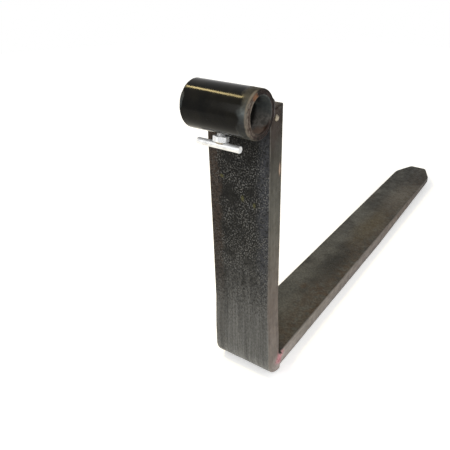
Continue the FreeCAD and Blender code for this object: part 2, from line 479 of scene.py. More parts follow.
def tineStations(settings):
    # Points on the L's outer and inner paths, station by station: down the shank, round the heel by
    # equal angles on two arcs with their own centres, and out along the blade to the tip.
    back, height, thick = settings["back"], settings["height"], settings["thickness"]
    outer, inner = settings["outerRadius"], settings["innerRadius"]
    near = np.array([0, 0.0002, 0.0006, 0.0012, 0.002])
    shank = np.concatenate([near, np.linspace(0.004, 1, 118)[:-1] * (height - outer)])
    innerReach = height - thick - inner
    shankOuter = np.stack([np.full_like(shank, back), -shank], -1)
    shankInner = np.stack([np.full_like(shank, back + thick), -shank / (height - outer) * innerReach], -1)
    turn = np.linspace(0, np.pi / 2, 26)[:-1]
    outerArc = np.stack([back + outer - outer * np.cos(turn), -height + outer - outer * np.sin(turn)], -1)
    innerArc = np.stack([
        back + thick + inner - inner * np.cos(turn),
        -height + thick + inner - inner * np.sin(turn),
    ], -1)
    corner = settings["tipCorner"]
    cornerAngle = np.linspace(0.35, np.pi / 2, 22)
    bladeEnd = settings["length"] - corner + corner * np.sin(cornerAngle)
    blade = np.concatenate([np.linspace(outer, bladeEnd[0], 216)[:-1], bladeEnd])
    innerShare = (blade - outer) / (settings["length"] - outer)
    innerBlade = thick + inner + innerShare * (settings["length"] - thick - inner)
    rise = np.clip(blade - settings["taperStart"], 0, None)
    slope = (thick - settings["tipThickness"]) / (settings["length"] - settings["taperStart"])
    bladeOuter = np.stack([back + blade, -height + rise * slope], -1)
    bladeInner = np.stack([back + innerBlade, np.full_like(blade, -height + thick)], -1)
    outerPath = np.concatenate([shankOuter, outerArc, bladeOuter])
    innerPath = np.concatenate([shankInner, innerArc, bladeInner])
    shankPart = np.concatenate([np.ones(len(shank)), np.linspace(1, 0, len(turn)), np.zeros(len(blade))])
    width = np.concatenate([
        flareWidth(height - shank, settings),
        np.full(len(turn), settings["halfWidth"] + settings["flare"]),
        np.minimum(flareWidth(blade, settings), tipWidth(blade, settings)),
    ])
    fromTop = np.concatenate([shank, np.full(len(turn) + len(blade), 1.0)])
    fromTip = np.concatenate([np.full(len(shank) + len(turn), 1.0), settings["length"] - blade])
    inset = edgeInset(fromTop, settings["topRound"]) + edgeInset(fromTip, settings["edgeRadius"])
    return outerPath, innerPath, width, inset, shankPart


def roundedSection():
    # Once round a rectangle with round corners: fx, fq give the place on the inner rectangle from
    # -1 to 1, and ax, aq the outward direction.
    flat = np.linspace(-1, 1, 31)
    side = np.linspace(-1, 1, 11)
    bend = np.linspace(0, np.pi / 2, 8)[1:-1]
    one = np.ones_like
    parts = [
        (flat, -one(flat), 0 * flat, -one(flat)),
        (one(bend), -one(bend), np.sin(bend), -np.cos(bend)),
        (one(side), side, one(side), 0 * side),
        (one(bend), one(bend), np.cos(bend), np.sin(bend)),
        (-flat, one(flat), 0 * flat, one(flat)),
        (-one(bend), one(bend), -np.sin(bend), np.cos(bend)),
        (-one(side), -side, -one(side), 0 * side),
        (-one(bend), -one(bend), -np.cos(bend), -np.sin(bend)),
    ]
    return [np.concatenate([part[k] for part in parts]) for k in range(4)]


def runLength(points):
    # The distance along a row of points, from the first to each.
    return np.concatenate([[0], np.cumsum(np.linalg.norm(np.diff(points, axis=0), axis=1))])


def tineGrid(settings):
    # P(s, t) = O(s) + q N(s) + p X, where O is the outer path, N points from it to the inner path,
    # and (p, q) runs round a rounded rectangle as wide as the tine and as thick as the gap between
    # the paths. Waves, pits and knocks push the skin inwards along its own outward direction.
    outerPath, innerPath, width, inset, shankPart = tineStations(settings)
    across = innerPath - outerPath
    gap = np.linalg.norm(across, axis=1)
    across = across / gap[:, None]
    fx, fq, ax, aq = roundedSection()
    radius = np.minimum(settings["edgeRadius"], gap / 2 - inset - 0.0006)[:, None]
    halfX = width[:, None] - inset[:, None] - radius
    halfQ = gap[:, None] / 2 - inset[:, None] - radius
    p = fx * halfX + ax * radius
    q = gap[:, None] / 2 + fq * halfQ + aq * radius
    yz = outerPath[:, None, :] + q[..., None] * across[:, None, :]
    grid = np.stack([p, yz[..., 0], yz[..., 1]], -1)
    outward = np.stack([np.broadcast_to(ax, p.shape), aq * across[:, 0:1], aq * across[:, 1:2]], -1)
    onFace, onSide = np.abs(aq) > 0.99, np.abs(ax) > 0.99
    toCorner = np.select([onFace, onSide], [(1 - np.abs(fx)) * halfX, (1 - np.abs(fq)) * halfQ], 0.0)
    edge = np.exp(-toCorner / 0.0035)
    seed = settings["seed"]
    wave = settings["waveDepth"] * (0.5 + 0.5 * softNoise(grid, 0.045, seed))
    pit = settings["pitDepth"] * np.clip(softNoise(grid, 0.007, seed + 1), 0, 1)
    knock = np.clip(softNoise(grid, 0.011, seed + 2) - 0.35, 0, 1) * edge * settings["nickDepth"]
    grid = grid - outward * (wave + pit + knock)[..., None]
    ends = [np.broadcast_to(grid[k].mean(0), (1,) + grid.shape[1:]) for k in (0, -1)]
    grid = np.concatenate([ends[0], grid, ends[1]])
    path = runLength((outerPath + innerPath) / 2)
    path = np.concatenate([[path[0] - 0.002], path, [path[-1] + 0.002]])
    around = runLength(grid[60])
    masks = {"edge": edge, "loadSide": np.clip(aq, 0, 1), "flank": np.abs(ax), "shank": shankPart[:, None]}
    attributes = {
        key: np.pad(np.broadcast_to(mask, p.shape), ((1, 1), (0, 0)), mode="edge")
        for key, mask in masks.items()
    }
    return grid, attributes, (path, around)


tineFinish = {
    "heelPlace": 0.03,         # where the blade's length is counted from, along Y
    "faceTones": (             # from the shank's top to the heel: painted shadow of the tube at the top, painted light lower down, and a painted highlight on the heel's curve in the last stop
        (0.05, (0.007, 0.007, 0.0068)), (0.20, (0.008, 0.008, 0.0077)), (0.46, (0.018, 0.018, 0.0165)),
        (0.60, (0.060, 0.0595, 0.057)), (0.72, (0.104, 0.104, 0.101)), (0.90, (0.122, 0.123, 0.120)),
        (0.97, (0.215, 0.217, 0.213)),
    ),
    # from the shank's top down: painted shade at the top beside the tube, painted light lower down
    "flankTones": (
        (0.04, (0.024, 0.020, 0.017)), (0.15, (0.062, 0.058, 0.049)), (0.30, (0.100, 0.096, 0.081)),
        (0.42, (0.115, 0.106, 0.088)), (0.66, (0.152, 0.126, 0.108)), (1.0, (0.210, 0.182, 0.164)),
    ),
    "bladeSideTones": (        # from the heel to the tip
        (0.03, (0.420, 0.370, 0.340)), (0.12, (0.255, 0.230, 0.205)), (0.45, (0.204, 0.176, 0.160)),
        (0.68, (0.140, 0.112, 0.092)), (0.90, (0.066, 0.055, 0.050)),
    ),
    # pale flecks standing for sparkles of light: painted highlights
    "glintFleckTone": (0.138, 0.138, 0.133),
    "mossTone": (0.085, 0.082, 0.030),
    "mossPlaces": (            # centre and half size of each olive stain on the tube side
        ((0.0253, 0.030, -0.1375), (0.0035, 0.01, 0.0060)),
        ((0.0061, 0.030, -0.1317), (0.0040, 0.01, 0.0065)),
        ((-0.0277, 0.030, -0.1054), (0.0050, 0.01, 0.0040)),
    ),
    "pitTone": (0.007, 0.007, 0.007),
    "darkBand": (-0.0225, 0.004),       # its middle and reach across the tube side
    "leftStrip": (-0.024, -0.034),      # where it fades in and is whole
    "leftStripTone": (0.046, 0.033, 0.026),
    "rightStrip": (0.028, 0.044),
    "rightStripTone": (0.052, 0.055, 0.065),
    "bladeTones": ((0.041, 0.040, 0.036), (0.084, 0.083, 0.075)),
    "bladeBrown": (0.062, 0.043, 0.028),
    "bladeStains": (           # centre, half size and tone of each wide stain on the blade's top
        ((0.008, 0.360, -0.424), (0.042, 0.130, 0.05), (0.020, 0.020, 0.018)),
        ((-0.030, 0.235, -0.424), (0.034, 0.110, 0.05), (0.076, 0.077, 0.071)),
        ((-0.032, 0.460, -0.424), (0.034, 0.130, 0.05), (0.086, 0.086, 0.079)),
        ((0.014, 0.570, -0.424), (0.040, 0.150, 0.05), (0.072, 0.058, 0.034)),
        ((0.020, 0.760, -0.424), (0.045, 0.130, 0.05), (0.098, 0.088, 0.074)),
        ((0.000, 0.105, -0.424), (0.060, 0.060, 0.05), (0.050, 0.040, 0.030)),
    ),
    "bladeSpeckTone": (0.115, 0.105, 0.085),
    "heelCornerTone": (0.026, 0.018, 0.012),
    "heelCornerPlace": (0, 0.061, -0.424),
    "heelCornerSize": (0.14, 0.034, 0.034),
    # paler line along the rounded edges: a painted highlight
    "arrisHighlightTone": (0.240, 0.225, 0.200),
    "flankMarks": (            # centre, half size, raggedness, softness, share and tone: the weld's heat
        # stain, the chafed place, the scratch in it, and the paint smeared above the dab
        ((0.050, 0.040, -0.010), (0.03, 0.020, 0.065), 0.35, 0.8, 0.65, (0.052, 0.037, 0.030)),
        ((0.050, 0.0545, -0.0868), (0.01, 0.0046, 0.0150), 0.35, 0.9, 0.6, (0.150, 0.092, 0.064)),
        ((0.050, 0.0545, -0.0868), (0.01, 0.0024, 0.0110), 0.25, 0.6, 0.85, (0.44, 0.32, 0.24)),
        ((0.0535, 0.0630, -0.4160), (0.009, 0.0100, 0.0140), 0.35, 0.9, 0.6, (0.33, 0.10, 0.115)),
    ),
    "dabTones": ((0.33, 0.10, 0.115), (0.62, 0.31, 0.335)),   # pink paint in the heel's corner
    "dabPlace": (0.0535, 0.0680, -0.4300),
    "dabSize": (0.013, 0.0220, 0.0150),
}


def tubeSideColor(tree, finish, place, split, wrap, down):
    # Near black with clusters of pale flecks, painted glints of light on the rough paint, and dark pits;
    # smoother towards the heel and lighter there in painted light, brown along its left edge and bluish along
    # its right.
    scaly = fade(tree, down, 0.56, 0.84, 1.0, 0.10)
    # Painted shade and light: dark in the tube's shadow at the top, lighter lower down, a painted highlight
    # on the heel.
    color = ramp(tree, down, finish["faceTones"])
    fine = patches(tree, stretched(tree, place, (1.45, 1.0, 0.55)), 360.0, 0.36, 0.64, 2.0)
    lines = patches(tree, stretched(tree, wrap, (10.0, 330.0, 1.0)), 1.0, 0.35, 0.65, 2.0)
    lowest = fade(tree, scaly, 0.1, 1.0, 0.74, 0.52)
    texture = addNode(tree, "ShaderNodeMix", {0: fine, 2: lowest, 3: 1.12}).outputs[0]
    color = brighten(tree, color, calc(tree, "ADD", texture, fade(tree, lines, 0, 1, -0.10, 0.16)))
    bands = patches(tree, stretched(tree, wrap, (4.0, 90.0, 1.0)), 1.0, 0.35, 0.65, 2.0)
    color = brighten(tree, color, fade(tree, bands, 0, 1, 0.78, 1.14))
    lowRight = times(tree, fade(tree, split["X"], 0.0, 0.03), fade(tree, down, 0.4, 0.6))
    color = brighten(tree, color, fade(tree, lowRight, 0, 1, 1.0, 1.22))

    across = calc(tree, "ADD", split["X"], times(tree, patches(tree, place, 55.0, 0.30, 0.70), 0.006))
    left = times(tree, fade(tree, across, *finish["leftStrip"]), fade(tree, down, 0.35, 0.78, 0.85, 0.10))
    right = times(tree, fade(tree, across, *finish["rightStrip"]), fade(tree, down, 0.45, 0.72, 0.65, 0.0))
    color = coat(tree, color, finish["leftStripTone"], left)
    color = coat(tree, color, finish["rightStripTone"], right)
    band = times(tree, spotAlong(tree, across, *finish["darkBand"]), fade(tree, down, 0.6, 0.9, 0.55, 0.0))
    pits = times(tree, patches(tree, place, 230.0, 0.46, 0.61, 2.0), scaly, 0.75)
    color = coat(tree, color, finish["pitTone"], calc(tree, "MAXIMUM", band, pits))

    # The pale flecks are painted glints: sparkles of light on the rough paint.
    cluster = patches(tree, place, 42.0, 0.32, 0.60)
    sparse = times(tree, patches(tree, place, 430.0, 0.525, 0.60, 2.0), cluster)
    dense = times(tree, patches(tree, place, 560.0, 0.46, 0.60, 2.0), 0.08)
    glintFlecks = times(tree, calc(tree, "MAXIMUM", sparse, dense), scaly, fade(tree, left, 0.0, 1.0, 1.0, 0.45))
    color = coat(tree, color, finish["glintFleckTone"], glintFlecks, fade(tree, down, 0.07, 0.20, 0.15, 0.95))
    for centre, size in finish["mossPlaces"]:
        color = coat(tree, color, finish["mossTone"], spot(tree, place, centre, size, 0.45, 0.9), 0.8)
    return color


def flankColor(tree, finish, place, split, wrap, down, shank, edge):
    # Brown-grey with faint lengthwise streaks, then the stain, scratch and pink paint of flankMarks.
    along = calc(tree, "SUBTRACT", split["Y"], finish["heelPlace"])
    color = ramp(tree, along, finish["bladeSideTones"])
    # The shank's flank darkens at the top in painted shade and lightens lower down in painted light.
    color = coat(tree, color, ramp(tree, down, finish["flankTones"]), shank)
    lines = patches(tree, stretched(tree, wrap, (12.0, 260.0, 1.0)), 1.0, 0.32, 0.70)
    blotch = patches(tree, place, 75.0, 0.30, 0.70)
    color = brighten(tree, color, calc(
        tree, "ADD", fade(tree, lines, 0, 1, 0.84, 1.02), fade(tree, blotch, 0, 1, -0.05, 0.15)))
    margin = times(tree, fade(tree, edge, 0.03, 0.35), patches(tree, place, 60.0, 0.35, 0.6))
    color = coat(tree, color, brighten(tree, color, 0.72), margin, 0.45)
    for centre, size, ragged, soft, share, tone in finish["flankMarks"]:
        color = coat(tree, color, tone, spot(tree, place, centre, size, ragged, soft), share)
    dab = spot(tree, place, finish["dabPlace"], finish["dabSize"], 0.30, 0.6)
    dabColor = mixColors(tree, patches(tree, place, 260.0, 0.35, 0.6), *finish["dabTones"])
    return coat(tree, color, dabColor, dab, 0.92)


def loadSideColor(tree, finish, place, split):
    # Dark olive-grey in large soft mottles, brown in places, with fine pale specks, and darker along the
    # heel's inner corner.
    color = mixColors(tree, patches(tree, place, 15.0, 0.38, 0.62), *finish["bladeTones"])
    rightHalf = fade(tree, split["X"], -0.020, 0.035)
    brown = calc(tree, "MAXIMUM", patches(tree, place, 10.0, 0.52, 0.66), times(tree, rightHalf, 0.7))
    color = coat(tree, color, finish["bladeBrown"], brown, patches(tree, place, 80.0, 0.30, 0.62), 0.8)
    for centre, size, tone in finish["bladeStains"]:
        color = coat(tree, color, tone, spot(tree, place, centre, size, 0.35, 0.9), 0.7)
    fine = patches(tree, place, 260.0, 0.30, 0.72)
    color = brighten(tree, color, fade(tree, fine, 0, 1, 0.76, 1.14))
    color = brighten(tree, color, fade(tree, split["Y"], 0.82, 0.92, 1.0, 0.62))
    color = coat(tree, color, finish["bladeSpeckTone"], patches(tree, place, 380.0, 0.60, 0.70, 2.0), 0.55)
    # Darker along the heel's inner corner, where the blade meets the shank.
    heelCorner = spot(tree, place, finish["heelCornerPlace"], finish["heelCornerSize"], 0.3, 0.8)
    return coat(tree, color, finish["heelCornerTone"], heelCorner, 0.75)


def tineMaterial(finish):
    # Worn black paint over forged steel.
    material, tree, shader, place = newMaterial("tinePaint")
    wrap = addNode(tree, "ShaderNodeUVMap", uv_map="wrap").outputs[0]
    split = addNode(tree, "ShaderNodeSeparateXYZ", {"Vector": place}).outputs
    down = times(tree, split["Z"], -1 / tineSettings["height"])
    flank, edge, loadSide, shank = (attributeOf(tree, key) for key in ("flank", "edge", "loadSide", "shank"))
    color = coat(
        tree, tubeSideColor(tree, finish, place, split, wrap, down),
        flankColor(tree, finish, place, split, wrap, down, shank, edge), flank)
    color = coat(tree, color, loadSideColor(tree, finish, place, split), loadSide)
    # A paler line along the rounded edges: a painted highlight.
    arrisHighlight = spotAlong(tree, flank, 0.72, 0.30)
    color = coat(tree, color, finish["arrisHighlightTone"], arrisHighlight, patches(tree, place, 70.0, 0.25, 0.60), 0.45)
    rough = fade(tree, patches(tree, place, 90.0, 0.35, 0.7, 4.0), 0.0, 1.0, 0.42, 0.66)
    fillSockets(tree, shader, {"Base Color": color, "Roughness": rough, "Specular IOR Level": 0.06})
    grain = placeGroup(tree, grainGroup, Vector=place, Scale=260.0, Fine=0.5)["Height"]
    addBump(tree, shader, grain, 0.4, 0.0006)
    return material


def buildTine(settings, finish):
    grid, attributes, wrap = tineGrid(settings)
    piece = gridPiece("tineForging", grid, attributes=attributes, wrap=wrap)
    settle(piece, "tine", "tine_paint", tineMaterial(finish), "forged_tine")


buildTine(tineSettings, tineFinish)
print("forged tine built")


# Hanger tube

tubeSettings = {
    "left": -0.0423,
    "right": 0.0557,
    "outerRadius": 0.03015,
    "boreRadius": 0.0225,
    "rimRound": 0.0025,
    "boreRound": 0.0009,
    "rimRaggedness": 0.0007,   # how far the rims draw back, at most
    "grooveDepth": 0.0005,     # ring worn into each end face
    "dentDepth": 0.00035,
    "steps": 192,
    "seed": 23,
}

screwSettings = {
    "lean": 12.0,              # degrees, away from the shank
    "offset": 0.0022,
    "studRadius": 0.006,
    "pitch": 0.00175,
    "threadDepth": 0.00095,
    "studStart": 0.0228,       # distances from the tube's axis
    "headStart": 0.03275,
    "headEnd": 0.04025,
    "holeRadius": 0.00605,
    "holeReach": (0.012, 0.034),   # of the drill that cuts it
    "acrossFlats": 0.019,
    "headTurn": 24.0,
    "faceShare": 0.93,         # flat circle on each end of the head, as a share of its flats
    "cornerRound": 0.0007,
    "barRadius": 0.0045,
    "barLength": 0.065,
    "barOffset": -0.0029,
    "barPlace": 0.04475,
    "barBow": 0.00025,
    "beadRadius": 0.0029,
    "beadLength": 0.0128,
    "seed": 31,
}


def screwFrame(settings):
    # The screw's own axes: out along the screw, square to it towards the front, and its start.
    lean = math.radians(settings["lean"])
    along = np.array([0, -math.sin(lean), -math.cos(lean)])
    front = np.cross(along, [1, 0, 0])
    return along, front, np.array([settings["offset"], 0, 0])


def ringOf(turn, front):
    # Directions round the screw's axis, from X through front.
    return np.cos(turn)[:, None] * np.array([1, 0, 0]) + np.sin(turn)[:, None] * front


def tubeGrid(settings):
    # A closed profile of (x, r) carried round the tube's axis: the outside, a quarter-round rim, the
    # end face, a small quarter-round at the bore, the bore, and the same again at the other end.
    left, right = settings["left"], settings["right"]
    outer, bore = settings["outerRadius"], settings["boreRadius"]
    rim, lip = settings["rimRound"], settings["boreRound"]
    bend = np.linspace(0, np.pi / 2, 9)
    soft = np.linspace(0, np.pi / 2, 5)
    long = np.linspace(left + rim, right - rim, 60)[1:-1]
    inside = np.linspace(right - lip, left + lip, 50)[1:-1]
    faceDown = np.linspace(outer - rim, bore + lip, 16)[1:-1]
    flat = np.ones_like(faceDown)
    x = np.concatenate([
        long, right - rim + rim * np.sin(bend), right * flat, right - lip + lip * np.cos(soft),
        inside, left + lip - lip * np.sin(soft), left * flat, left + rim - rim * np.cos(bend),
    ])
    r = np.concatenate([
        np.full_like(long, outer), outer - rim + rim * np.cos(bend),
        faceDown, bore + lip - lip * np.sin(soft),
        np.full_like(inside, bore), bore + lip - lip * np.cos(soft),
        faceDown[::-1], outer - rim + rim * np.sin(bend),
    ])
    facing = np.concatenate([
        0 * long, np.sin(bend), flat, np.cos(soft), 0 * inside, np.sin(soft), flat, np.cos(bend),
    ])
    turn = np.arange(settings["steps"]) * 2 * np.pi / settings["steps"]
    radius = np.broadcast_to(r[:, None], (len(r), len(turn)))
    across = np.broadcast_to(x[:, None], radius.shape)
    grid = np.stack([across, radius * np.cos(turn), radius * np.sin(turn)], -1)
    seed = settings["seed"]
    toRight, toLeft = right - grid[..., 0], grid[..., 0] - left
    onRim = np.exp(-np.minimum(toRight, toLeft) / 0.0022)
    outside = np.clip((radius - bore) / (outer - bore), 0, 1)
    chips = np.clip(softNoise(grid, 0.0032, seed + 1), 0, 1)
    ragged = 0.25 + 0.25 * softNoise(grid, 0.0065, seed) + 0.5 * chips
    groove = np.exp(-((outside - 0.55 - 0.1 * softNoise(grid, 0.012, seed + 3)) / 0.13) ** 2)
    ragged = onRim * (settings["rimRaggedness"] * ragged + settings["grooveDepth"] * groove)
    grid[..., 0] += np.where(toRight < toLeft, -ragged, ragged)
    dent = settings["dentDepth"] * np.clip(softNoise(grid, 0.009, seed + 2) - 0.1, 0, 1)
    dent = dent * outside * (0.15 + np.exp(-toRight / 0.014) + 0.5 * np.exp(-toLeft / 0.012))
    grid[..., 1:] *= (1 - dent / radius)[..., None]
    attributes = {
        "fromRight": toRight, "fromLeft": toLeft, "endFace": facing[:, None], "outward": outside,
        "bore": np.clip(1 - (radius - bore) / 0.0012, 0, 1),
    }
    return grid, attributes


def cylinderGrid(radius, start, end, axis, side, origin, steps=64, rows=2):
    # C(s, t) = origin + s axis + radius (cos t side + sin t axis x side), with a pole at each end.
    turn = np.arange(steps) * 2 * np.pi / steps
    other = np.cross(axis, side)
    ring = np.cos(turn)[:, None] * side + np.sin(turn)[:, None] * other
    stations = np.concatenate([[start], np.linspace(start, end, rows), [end]])
    size = np.full(len(stations), radius)
    size[[0, -1]] = 0
    return origin + stations[:, None, None] * axis + size[:, None, None] * ring


tubeFinish = {
    "paintTones": ((0.0030, 0.0030, 0.0027), (0.0070, 0.0064, 0.0048)),
    "floorReflectionTone": (0.075, 0.074, 0.060),   # painted reflection of the floor along the tube's underside
    "scuffTones": (            # from the tube's underside to its top
        (0.0, (0.085, 0.085, 0.072)), (0.18, (0.030, 0.031, 0.029)), (0.42, (0.034, 0.036, 0.037)),
        (0.62, (0.105, 0.120, 0.125)), (0.82, (0.070, 0.069, 0.062)), (1.0, (0.040, 0.036, 0.028)),
    ),
    "scuffReach": (0.0170, 0.0070),      # from the right end, where the scuff fades in and is whole
    # brown of the worn rim, also a painted highlight along its front
    "rimHighlightTone": (0.165, 0.142, 0.115),
    "faceTones": ((0.012, 0.009, 0.008), (0.050, 0.034, 0.030)),
    "frontFaceTones": ((0.060, 0.044, 0.034), (0.170, 0.142, 0.116)),
    "facePatchTone": (0.200, 0.100, 0.054),
    "facePatchPlace": (0.0555, -0.0115, 0.0225),
    "facePatchSize": (0.006, 0.0075, 0.0062),
    "boreTones": ((0.072, 0.080, 0.080), (0.108, 0.117, 0.116)),
    "boreFloorTones": ((0.130, 0.122, 0.112), (0.250, 0.232, 0.210)),
    "boreRustPlace": (0.054, 0.0123, -0.0188),
    "boreRustSize": (0.008, 0.008, 0.005),
    "boreLumpTone": (0.215, 0.155, 0.122),
    "boreLumpPlace": (0.0465, 0.0060, -0.0216),
    "boreLumpSize": (0.0115, 0.0125, 0.0080),
    "boreLipTone": (0.034, 0.020, 0.016),
    # painted shade deep in the bore and under its roof
    "boreShadeTone": (0.006, 0.006, 0.0055),
}


def tubeEndColor(tree, finish, place, split, outward):
    # End face: brown-grey towards the front with a dark ring half way out, darker at the foot, nearly
    # black elsewhere, and an orange patch at the upper front.
    color = mixColors(tree, patches(tree, place, 210.0, 0.42, 0.70, 4.0), *finish["faceTones"])
    front = mixColors(tree, patches(tree, place, 170.0, 0.36, 0.62, 4.0), *finish["frontFaceTones"])
    wandered = calc(tree, "ADD", outward, times(tree, patches(tree, place, 150.0, 0.3, 0.7), 0.25))
    front = coat(tree, front, finish["faceTones"][1], spotAlong(tree, wandered, 0.62, 0.22), 0.8)
    foot = fade(tree, split["Z"], -0.026, -0.013, 0.35, 1.0)
    color = coat(tree, color, front, fade(tree, split["Y"], -0.004, -0.017), foot)
    patch = spot(tree, place, finish["facePatchPlace"], finish["facePatchSize"], 0.35, 0.8)
    return coat(tree, color, finish["facePatchTone"], patch)


def tubeBoreColor(tree, finish, place, split, nearEnd):
    # Bore: smooth above, paler below, with painted shade making it nearly black deep inside and under its
    # roof; a tan lump, rust and a dark lip at the mouth's foot.
    color = mixColors(tree, patches(tree, place, 110.0, 0.35, 0.65, 4.0), *finish["boreTones"])
    floor = mixColors(tree, patches(tree, place, 240.0, 0.36, 0.64, 4.0), *finish["boreFloorTones"])
    color = coat(tree, color, floor, fade(tree, split["Z"], 0.004, -0.014))
    rust = placeGroup(tree, rustGroup, Vector=place, Scale=260.0)["Color"]
    rusted = spot(tree, place, finish["boreRustPlace"], finish["boreRustSize"], 0.4, 0.8)
    color = coat(tree, color, rust, rusted, 0.8)
    lump = spot(tree, place, finish["boreLumpPlace"], finish["boreLumpSize"], 0.4, 0.7)
    color = coat(tree, color, finish["boreLumpTone"], lump)
    lip = times(tree, fade(tree, nearEnd, 0.0045, 0.0020), fade(tree, split["Z"], -0.006, -0.016))
    color = coat(tree, color, finish["boreLipTone"], lip, 0.85)
    # Painted shade: nearly black deep inside the bore and under its roof.
    roofShade = times(tree, fade(tree, nearEnd, 0.008, 0.018), fade(tree, split["Z"], 0.002, 0.016))
    deep = calc(tree, "MAXIMUM", fade(tree, nearEnd, 0.0195, 0.0250), roofShade)
    return coat(tree, color, finish["boreShadeTone"], deep, 0.9)


def tubeMaterial(finish):
    # Glossy black paint with a painted reflection of the floor along its underside, scuffed smooth at the
    # right end, with brown rims and end faces.
    material, tree, shader, place = newMaterial("tubePaint")
    split = addNode(tree, "ShaderNodeSeparateXYZ", {"Vector": place}).outputs
    fromRight, fromLeft, endFace, bore, outward = (
        attributeOf(tree, key) for key in ("fromRight", "fromLeft", "endFace", "bore", "outward"))

    paint = mixColors(tree, patches(tree, place, 38.0, 0.36, 0.66, 4.0), *finish["paintTones"])
    # A lighter band along the underside: painted reflection of the floor.
    under = fade(tree, split["Z"], -0.0190, -0.0275)
    paint = coat(tree, paint, finish["floorReflectionTone"], under, patches(tree, place, 65.0, 0.2, 0.6), 0.6)
    wander = times(tree, calc(tree, "SUBTRACT", patches(tree, place, 33.0, 0.25, 0.75), 0.5), 0.013)
    bulge = times(tree, spotAlong(tree, split["Z"], 0.009, 0.013), 0.006)
    reach = calc(tree, "SUBTRACT", calc(tree, "ADD", fromRight, wander), bulge)
    scuffLeft = fade(tree, calc(tree, "ADD", fromLeft, wander), 0.0030, 0.0)
    scuffed = calc(tree, "MAXIMUM", fade(tree, reach, *finish["scuffReach"]), times(tree, scuffLeft, 0.5))
    aloft = calc(tree, "ADD", times(tree, split["Z"], 0.5 / tubeSettings["outerRadius"]), 0.5)
    cloud = patches(tree, place, 90.0, 0.30, 0.70, 4.0)
    scuffColor = brighten(tree, ramp(tree, aloft, finish["scuffTones"]), fade(tree, cloud, 0, 1, 0.62, 1.15))
    # Worn brown rim laid on the front and kept off the foot: partly the bare rim, partly a painted highlight
    # on its round.
    rimHighlight = times(tree, fade(tree, fromRight, 0.0050, 0.0022), patches(tree, place, 130.0, 0.30, 0.56))
    rimFoot = fade(tree, split["Z"], -0.027, -0.014, 0.45, 1.0)
    scuffColor = coat(
        tree, scuffColor, finish["rimHighlightTone"], rimHighlight, fade(tree, split["Y"], 0.0, -0.014), rimFoot)
    color = coat(tree, paint, scuffColor, scuffed, 0.92)
    onFace = fade(tree, endFace, 0.45, 0.85)
    color = coat(tree, color, tubeEndColor(tree, finish, place, split, outward), onFace)
    nearEnd = calc(tree, "MINIMUM", fromRight, fromLeft)
    color = coat(tree, color, tubeBoreColor(tree, finish, place, split, nearEnd), bore)

    dull = calc(tree, "MAXIMUM", scuffed, calc(tree, "MAXIMUM", bore, onFace))
    shiny = fade(tree, patches(tree, place, 30.0, 0.3, 0.7), 0, 1, 0.11, 0.16)
    rough = addNode(tree, "ShaderNodeMix", {0: dull, 2: shiny, 3: 0.62}).outputs[0]
    fillSockets(tree, shader, {"Base Color": color, "Roughness": rough, "Specular IOR Level": 0.07})
    grain = placeGroup(tree, grainGroup, Vector=place, Scale=330.0, Fine=0.6)["Height"]
    addBump(tree, shader, times(tree, grain, fade(tree, dull, 0.0, 1.0, 0.002, 1.0)), 0.4, 0.0006)
    return material


def buildTube(settings, finish, screw):
    grid, attributes = tubeGrid(settings)
    piece = gridPiece("tubeShell", grid, closedRows=True, attributes=attributes)
    drill = gridPiece("screwHole", cylinderGrid(screw["holeRadius"], *screw["holeReach"], *screwFrame(screw)))
    cut = piece.modifiers.new("screwHole", "BOOLEAN")
    cut.operation = "DIFFERENCE"
    cut.solver = "EXACT"
    cut.object = drill
    bpy.context.view_layer.update()
    drilled = bpy.data.meshes.new_from_object(piece.evaluated_get(bpy.context.evaluated_depsgraph_get()))
    piece.modifiers.clear()
    piece.data = drilled
    piece.data.set_sharp_from_angle(angle=math.radians(45))
    bpy.data.objects.remove(drill)
    settle(piece, "tine", "tube_paint", tubeMaterial(finish), "hanger_tube")


buildTube(tubeSettings, tubeFinish, screwSettings)
print("hanger tube built")


# Weld beads and spatter

weldSettings = {
    "runs": {                  # start, end, radius, a direction square to the run, and its solid
        "upperWeld": (
            (-0.0391, 0.03015, 0.0035), (0.0468, 0.03015, 0.0035), 0.0069, (0, 1, 0), "upper_weld_bead"),
        "lowerWeld": (
            (-0.0391, 0.02665, -0.01642), (0.0468, 0.02665, -0.01642), 0.0069, (0, 1, 0), "lower_weld_bead"),
        "sideWeld": (
            (0.050, 0.03015, -0.0128), (0.050, 0.03015, 0.0128), 0.0049, (1, 0, 0), "side_weld_bead"),
    },
    "paintedTones": ((0.014, 0.010, 0.010), (0.05, 0.038, 0.036)),
    "bareTones": ((0.17, 0.14, 0.10), (0.46, 0.40, 0.29)),
    "ripplePitch": 0.0021,
    "rippleDepth": 0.075,      # share of the radius
    "wander": 0.045,
    "endLength": 0.0055,
    "steps": 36,
    "seed": 41,
}


